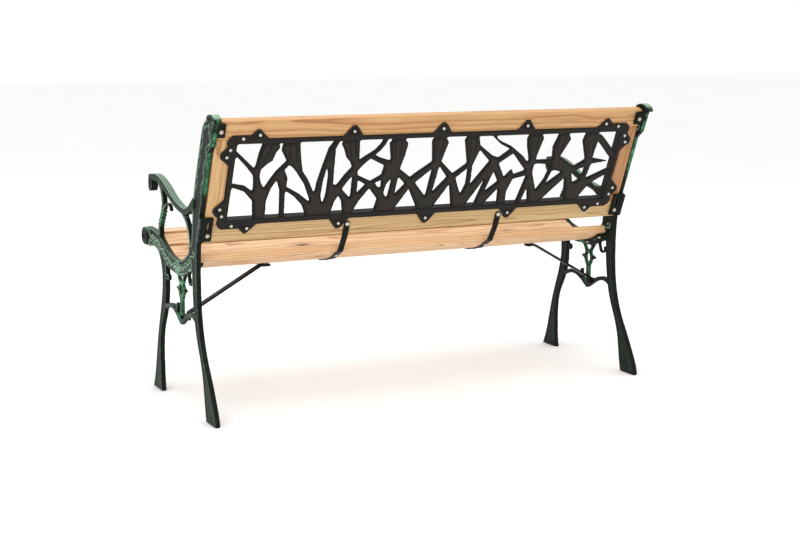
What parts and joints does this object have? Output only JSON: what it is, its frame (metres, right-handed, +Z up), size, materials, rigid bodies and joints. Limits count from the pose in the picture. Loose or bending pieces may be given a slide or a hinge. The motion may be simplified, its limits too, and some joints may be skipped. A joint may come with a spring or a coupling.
{
  "type": "garden bench",
  "caption": "Slatted garden bench with scrolled cast-iron ends, a curved wooden seat and a wood-framed back holding a pierced tulip panel.",
  "frame": {"origin": "middle of the bench's footprint, on the ground", "axes": "+Z up; +X along the length of the bench, towards the sitter's left hand; the sitter faces -Y and the back leans towards +Y"},
  "size_m": [1.22, 0.527, 0.7291],
  "materials": {
    "cast_iron": "black casting with a rubbed green patina",
    "panel": "black-brown satin coating",
    "timber": "clear-varnished fir with small knots",
    "black_steel": "black painted flat bar",
    "zinc_steel": "bright zinc plated"
  },
  "bodies": {
    "root": {"end_frame_left": "cast_iron", "end_frame_right": "cast_iron", "back_top_rail": "timber", "back_bottom_rail": "timber", "back_stile_left": "timber", "back_stile_right": "timber", "tulip_panel": "panel", "seat_slat_1": "timber", "seat_slat_2": "timber", "seat_slat_3": "timber", "seat_slat_4": "timber", "seat_slat_5": "timber", "seat_slat_6": "timber", "seat_strap_left": "black_steel", "seat_strap_right": "black_steel", "brace_left": "black_steel", "brace_right": "black_steel", "seat_screws": "zinc_steel", "seat_washers": "zinc_steel", "back_frame_bolts": "zinc_steel", "back_frame_washers": "zinc_steel", "back_frame_nuts": "zinc_steel", "panel_screws": "zinc_steel", "strap_screws": "zinc_steel", "strap_bolts": "zinc_steel", "strap_nuts": "zinc_steel", "brace_bolts": "zinc_steel", "brace_nuts": "zinc_steel", "brace_screws": "zinc_steel"}
  },
  "joints": []
}
